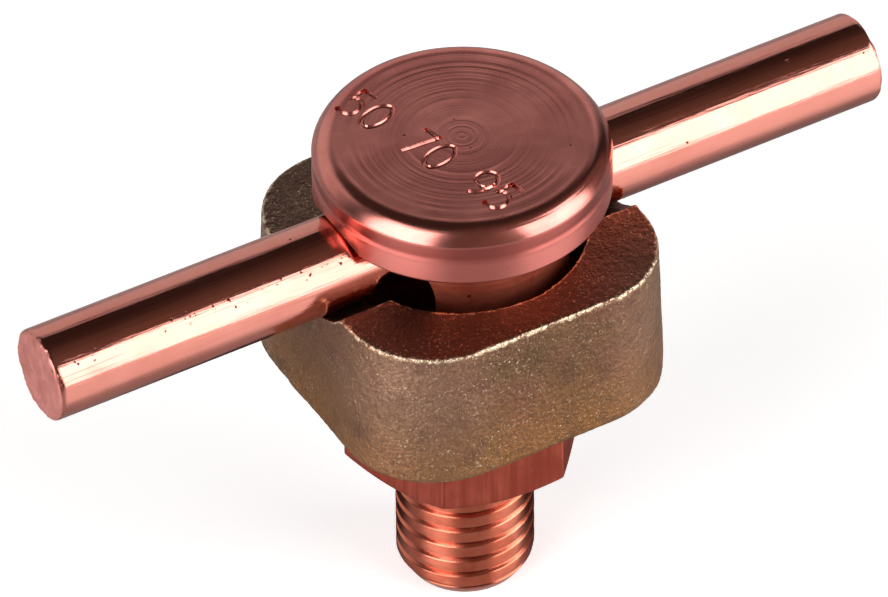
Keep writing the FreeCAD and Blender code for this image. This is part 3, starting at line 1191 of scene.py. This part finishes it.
def cast_gunmetal(settings):
    """Dull grainy cast skin of the block, darker and redder on top and inside as painted shade and
    reflection, with bright worn edges.
    """
    finish = settings.finish
    low, high = BLOCK_LOW.z, BLOCK_HIGH.z
    material, tree, shader = metal_material("cast_gunmetal_finish")
    place, x, y, z = coordinates(tree)
    mottle = tarnish(tree, 190.0, 0.9, finish.gunmetal, finish.gunmetal_green)
    low_down = remap(tree, z, high - 5 * MM, low + 1 * MM, to_high=0.7)
    base = blend_colours(tree, low_down, mottle["Color"], finish.gunmetal_low)

    # Painted light: lighter colour on the corners, and more so higher up
    lit_corner = remap(tree, across_distance(tree, x, y), 15.2 * MM, 17.2 * MM, to_high=0.7)
    lit_corner = multiply(tree, lit_corner, remap(tree, z, low + 2 * MM, high - 5 * MM, to_low=0.35))
    base = blend_colours(tree, lit_corner, base, finish.gunmetal_lit_corner)
    # Painted shade and reflection on upward faces and inside the recess
    inner = vertex_value(tree, TOP_SHADE_ATTRIBUTE)
    base = blend_colours(tree, inner, base, finish.gunmetal_top_shade)
    blotches = noise_at(tree, place, 330.0, detail=4.0, roughness=0.6)
    base = blend_colours(tree, remap(tree, blotches, 0.51, 0.72, to_high=0.55), base, finish.gunmetal_dark)

    # Dark pits, and bright tops of the sand grains that are partly bare metal and partly painted glints
    grains = noise_at(tree, place, 3300.0, detail=3.0, roughness=0.65)
    pits = remap(tree, grains, 0.34, 0.54, to_low=0.4, to_high=0.0)
    base = blend_colours(tree, pits, base, finish.gunmetal_dark)
    bare_and_glint = remap(tree, noise_at(tree, place, 4200.0, roughness=0.7), 0.60, 0.68)
    bare_and_glint_areas = remap(tree, noise_at(tree, place, 240.0), 0.40, 0.62, to_low=0.15, to_high=0.8)
    bare_and_glint = multiply(tree, bare_and_glint, bare_and_glint_areas)
    base = blend_colours(tree, bare_and_glint, base, finish.gunmetal_wear_and_glint)

    # Wear on the upper edges
    rag = noise_at(tree, place, 1500.0, detail=3.0, roughness=0.7)
    rag = remap(tree, rag, 0.3, 0.7, to_low=-0.075, to_high=0.06)
    worn = remap(tree, calculate(tree, "ADD", vertex_value(tree, WEAR_ATTRIBUTE), rag), 0.055, 0.115)
    worn = multiply(tree, worn, remap(tree, z, high - 2.5 * MM, high - 1 * MM))
    base = blend_colours(tree, worn, base, finish.gunmetal_wear_and_glint)

    hollow_rough, grain_rough, polish = 0.48, 0.28, 0.12
    rough = remap(tree, grains, 0.35, 0.65, hollow_rough, grain_rough)
    polished = calculate(tree, "MAXIMUM", worn, bare_and_glint)
    rough = subtract(tree, rough, multiply(tree, polished, polish))
    normal = bump(tree, noise_at(tree, place, 1500.0), 0.14 * MM)
    normal = bump(tree, grains, 0.12 * MM, normal)
    set_inputs(tree, shader, {
        "Base Color": base,
        "Metallic": remap(tree, inner, 0.0, 1.0, to_low=0.66),
        "Specular IOR Level": 0.2,
        "Roughness": rough,
        "Normal": normal,
    })
    return material


# Studio

def camera_axes(studio):
    """Right, up and backward directions of the camera."""
    bearing, elevation, roll = studio.camera_azimuth, studio.camera_elevation, studio.camera_roll
    level = math.cos(elevation)
    back = Vector((-math.sin(bearing) * level, -math.cos(bearing) * level, math.sin(elevation)))
    level_right = Vector((math.cos(bearing), -math.sin(bearing), 0))
    level_up = back.cross(level_right)
    right = level_right * math.cos(roll) + level_up * math.sin(roll)
    up = level_up * math.cos(roll) - level_right * math.sin(roll)
    return right, up, back


def make_camera(studio):
    """Camera at the angle from which the part is seen."""
    data = bpy.data.cameras.new("studio_camera")
    data.lens = studio.lens
    data.sensor_width = 36
    data.clip_start = 0.01
    data.clip_end = 20
    camera = place_object("studio_camera", data)
    right, up, back = camera_axes(studio)
    turn = Matrix((right, up, back)).transposed()
    place = Vector(studio.camera_aim) + back * studio.camera_distance
    camera.matrix_world = Matrix.Translation(place) @ turn.to_4x4()
    bpy.context.scene.camera = camera


def glow_material(name, radiance, softness):
    """Emission that falls off towards the edges of a light wall, past a faint margin."""
    material = fresh_material(name)
    tree = material.node_tree
    tree.nodes.clear()
    across = vertex_value(tree, WALL_EDGE_ATTRIBUTE)
    margin = remap(tree, across, 0.0, WALL_MARGIN, to_high=MARGIN_GLOW * radiance)
    full_glow = (1 - MARGIN_GLOW) * radiance
    full = remap(tree, across, WALL_MARGIN, WALL_MARGIN + softness, to_high=full_glow)
    emission = add(tree, "Emission", {"Strength": calculate(tree, "ADD", margin, full)})
    add(tree, "OutputMaterial", {"Surface": emission.outputs[0]})
    return material


def make_wall(name, studio):
    """Curved light wall round the part, between two azimuths and two elevations."""
    radiance, softness, azimuths, elevations, distance_share = LIGHT_WALLS[name]
    distance = studio.wall_distance * distance_share
    steps_across, steps_up = 24, 16
    vertices, edges = [], []
    for row in range(steps_up + 1):
        v = row / steps_up
        elevation = math.radians(elevations[0] + (elevations[1] - elevations[0]) * v)
        reach = distance * math.cos(elevation)
        height = WALL_CENTRE_HEIGHT + distance * math.sin(elevation)
        for column in range(steps_across + 1):
            u = column / steps_across
            azimuth = math.radians(azimuths[0] + (azimuths[1] - azimuths[0]) * u)
            vertices.append((reach * math.sin(azimuth), -reach * math.cos(azimuth), height))
            edges.append(2 * min(u, 1 - u, 1 - v))
    faces = []
    wide = steps_across + 1
    for row in range(steps_up):
        for column in range(steps_across):
            corner = row * wide + column
            faces.append((corner, corner + 1, corner + 1 + wide, corner + wide))
    mesh = bpy.data.meshes.new(name + "_wall")
    mesh.from_pydata(vertices, [], faces)
    store_values(mesh, WALL_EDGE_ATTRIBUTE, edges)
    mesh.materials.append(glow_material(name + "_glow", getattr(studio, radiance), softness))
    wall = place_object(name + "_wall", mesh)
    wall.visible_camera = False
    wall.visible_shadow = False


def mirrored_floor(tree, studio):
    """Floor as the metal sees it: satin paper, in shadow on the far side of the part."""
    place = object_place(tree)
    away = (math.sin(studio.camera_azimuth), math.cos(studio.camera_azimuth), 0)
    depth = vector_math(tree, "DOT_PRODUCT", {0: place, 1: away})["Value"]
    behind = remap(tree, depth, studio.shadow_start, studio.shadow_start + studio.shadow_fade)
    distance = vector_math(tree, "LENGTH", {0: place})["Value"]
    near = remap(tree, distance, studio.shadow_radius, 0.6 * studio.shadow_radius)
    light = remap(tree, multiply(tree, behind, near), 0.0, 1.0, to_low=1.0, to_high=studio.shadow_light)
    matt = add(tree, "BsdfDiffuse", {"Color": multiply(tree, light, studio.paper)})
    shine = add(tree, "BsdfGlossy", {"Color": multiply(tree, light, studio.sheen), "Roughness": 0.30})
    return add(tree, "AddShader", {0: matt.outputs[0], 1: shine.outputs[0]}).outputs[0]


def mix_shaders(tree, factor, first, second):
    """Shader mixed from two."""
    return add(tree, "MixShader", {0: factor, 1: first, 2: second}).outputs[0]


def floor_paint(studio):
    """Pale paint for the camera, satin paper for the metal, a glow for faces on it, clear from below."""
    material, tree, shader = metal_material("studio_floor_paint")
    set_inputs(tree, shader, {
        "Base Color": (0.9, 0.9, 0.9),
        "Roughness": 0.9,
        "Specular IOR Level": 0.1,
        "Emission Color": (1, 1, 1),
        "Emission Strength": studio.floor_glow,
    })
    light_path = add(tree, "LightPath").outputs
    touching = remap(tree, light_path["Ray Length"], 1.2 * MM, 0.4 * MM)
    glow = add(tree, "Emission", {"Strength": studio.back_radiance}).outputs[0]
    mirrored = mix_shaders(tree, touching, mirrored_floor(tree, studio), glow)
    paint = mix_shaders(tree, light_path["Is Camera Ray"], mirrored, shader.outputs[0])
    clear = add(tree, "BsdfTransparent").outputs[0]
    below = add(tree, "NewGeometry").outputs["Backfacing"]
    surface = mix_shaders(tree, below, paint, clear)
    set_inputs(tree, tree.nodes["Material Output"], {"Surface": surface})
    return material


def make_floor(studio):
    """Round floor just below the stud, see-through from below."""
    steps = 64
    turns = [2 * math.pi * step / steps for step in range(steps)]
    radius = studio.floor_radius
    height = CAD_LOW.z - studio.floor_gap
    vertices = [(radius * math.cos(turn), radius * math.sin(turn), height) for turn in turns]
    mesh = bpy.data.meshes.new("studio_floor")
    mesh.from_pydata(vertices, [], [tuple(range(steps))])
    mesh.materials.append(floor_paint(studio))
    floor = place_object("studio_floor", mesh)


def make_world(studio):
    """Dark ceiling, lighter towards the key light, and white where the camera looks past the floor."""
    world = bpy.data.worlds.new("studio_world")
    world.use_nodes = True
    tree = world.node_tree
    tree.nodes.clear()
    seen = add(tree, "LightPath").outputs["Is Camera Ray"]
    direction = add(tree, "TexCoord").outputs["Generated"]
    key_direction = (0.6, -0.8, 0)
    towards_key = vector_math(tree, "DOT_PRODUCT", {0: direction, 1: key_direction})["Value"]
    lightest = studio.sky_rise * studio.sky_radiance
    radiance = remap(tree, towards_key, 0.0, 1.0, studio.sky_radiance, lightest)
    sky = blend_colours(tree, seen, studio.sky_tint, (1, 1, 1))
    strength = blend_values(tree, seen, radiance, 1.0)
    background = add(tree, "Background", {"Color": sky, "Strength": strength})
    add(tree, "OutputWorld", {"Surface": background.outputs[0]})
    bpy.context.scene.world = world


def make_stage(settings):
    """Camera, floor, world and light walls."""
    studio = settings.studio
    bpy.context.scene.view_settings.view_transform = "Standard"
    make_camera(studio)
    make_floor(studio)
    make_world(studio)
    for name in LIGHT_WALLS:
        make_wall(name, studio)


# Operators

class CONNECTOR_OT_stage(bpy.types.Operator):
    """Make the camera, the floor and the studio lights"""

    bl_idname = "connector.stage"
    bl_label = "Make stage"

    def execute(self, context):
        make_stage(context.scene.connector)
        return {"FINISHED"}


class CONNECTOR_OT_clamp_bolt(bpy.types.Operator):
    """Make the turned bolt with its thread"""

    bl_idname = "connector.clamp_bolt"
    bl_label = "Make clamp bolt"

    def execute(self, context):
        make_clamp_bolt(context.scene.connector)
        return {"FINISHED"}


class CONNECTOR_OT_clamp_block(bpy.types.Operator):
    """Make the cast block"""

    bl_idname = "connector.clamp_block"
    bl_label = "Make clamp block"

    def execute(self, context):
        make_clamp_block(context.scene.connector)
        return {"FINISHED"}


class CONNECTOR_OT_hex_nut(bpy.types.Operator):
    """Make the hexagon nut"""

    bl_idname = "connector.hex_nut"
    bl_label = "Make hexagon nut"

    def execute(self, context):
        make_hex_nut(context.scene.connector)
        return {"FINISHED"}


class CONNECTOR_OT_round_conductor(bpy.types.Operator):
    """Make the short length of round conductor"""

    bl_idname = "connector.round_conductor"
    bl_label = "Make round conductor"

    def execute(self, context):
        make_round_conductor(context.scene.connector)
        return {"FINISHED"}


OPERATORS = (
    CONNECTOR_OT_stage,
    CONNECTOR_OT_clamp_bolt,
    CONNECTOR_OT_clamp_block,
    CONNECTOR_OT_hex_nut,
    CONNECTOR_OT_round_conductor,
)


class CONNECTOR_PT_panel(bpy.types.Panel):
    """Lists the connector's pieces and their settings"""

    bl_idname = "CONNECTOR_PT_panel"
    bl_label = "Round conductor connector"
    bl_space_type = "VIEW_3D"
    bl_region_type = "UI"
    bl_category = "Connector"

    def draw(self, context):
        settings = context.scene.connector
        for operator in OPERATORS:
            self.layout.operator(operator.bl_idname)
        for group_name in ConnectorSettings.__annotations__:
            group = getattr(settings, group_name)
            column = self.layout.box().column()
            column.label(text=group_name.capitalize())
            for property_name in type(group).__annotations__:
                column.prop(group, property_name)


CLASSES = (
    ClampBoltSizes,
    NumeralSizes,
    ClampBlockSizes,
    HexNutSizes,
    RoundConductorSizes,
    FinishColours,
    StudioSettings,
    ConnectorSettings,
    *OPERATORS,
    CONNECTOR_PT_panel,
)


def register():
    for item in CLASSES:
        bpy.utils.register_class(item)
    bpy.types.Scene.connector = PointerProperty(type=ConnectorSettings)


def unregister():
    del bpy.types.Scene.connector
    for item in reversed(CLASSES):
        bpy.utils.unregister_class(item)


def main():
    register()
    bpy.ops.connector.stage()
    bpy.ops.connector.clamp_bolt()
    bpy.ops.connector.clamp_block()
    bpy.ops.connector.hex_nut()
    bpy.ops.connector.round_conductor()


if __name__ == "__main__":
    main()
